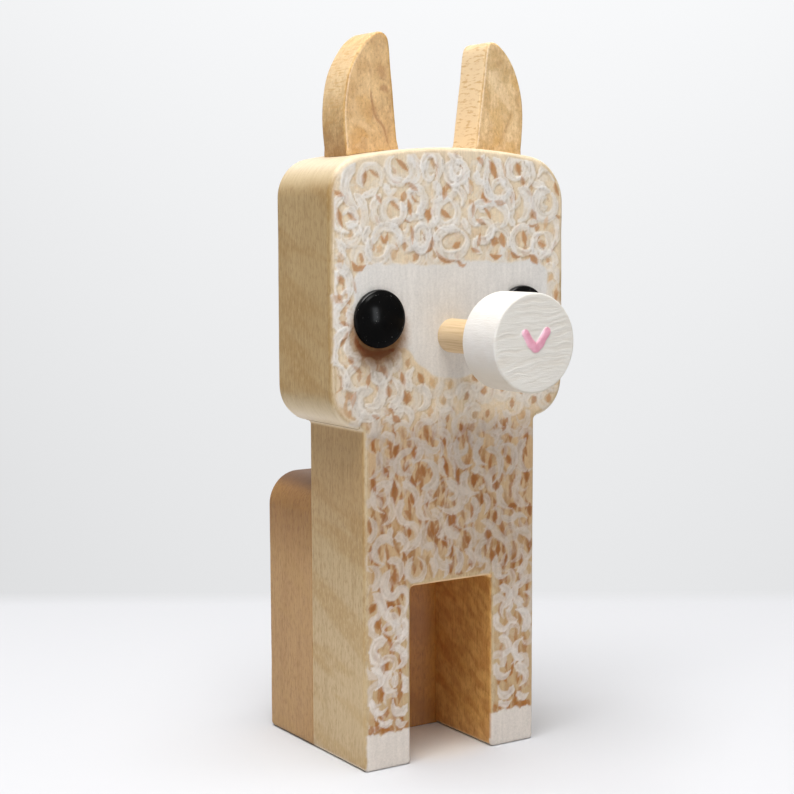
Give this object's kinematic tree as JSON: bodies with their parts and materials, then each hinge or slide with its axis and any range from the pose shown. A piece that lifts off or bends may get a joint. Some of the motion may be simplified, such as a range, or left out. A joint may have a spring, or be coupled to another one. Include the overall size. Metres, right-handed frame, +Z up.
{
  "type": "eyeglasses stand",
  "caption": "Wooden desk stand shaped like a small alpaca; the bridge of a pair of glasses rests on a peg between its painted face and its nose disc.",
  "frame": {"origin": "centre of the bounding box's underside, on the table", "axes": "+Z up, the nose points along -Y, +X is the viewer's right when facing the animal"},
  "size_m": [0.052, 0.0612, 0.1348],
  "materials": {
    "board_wood": "pale honey maple, clear satin finish; the front face carries brushed white curls over a tan wash",
    "block_wood": "warmer fine-flecked hardwood, clear satin finish",
    "ear_wood": "figured maple, clear satin finish",
    "dowel_wood": "bare birch dowel",
    "white_painted_wood": "white satin paint over turned wood, grain showing through",
    "black_eye": "polished black dome"
  },
  "bodies": {
    "root": {"front_board": "board_wood", "rear_body_block": "block_wood", "left_ear": "ear_wood", "right_ear": "ear_wood", "left_ear_dowels": "dowel_wood", "right_ear_dowels": "dowel_wood", "nose_disc": "white_painted_wood", "nose_peg": "dowel_wood", "left_eye": "black_eye", "right_eye": "black_eye", "body_dowels": "dowel_wood"}
  },
  "joints": []
}
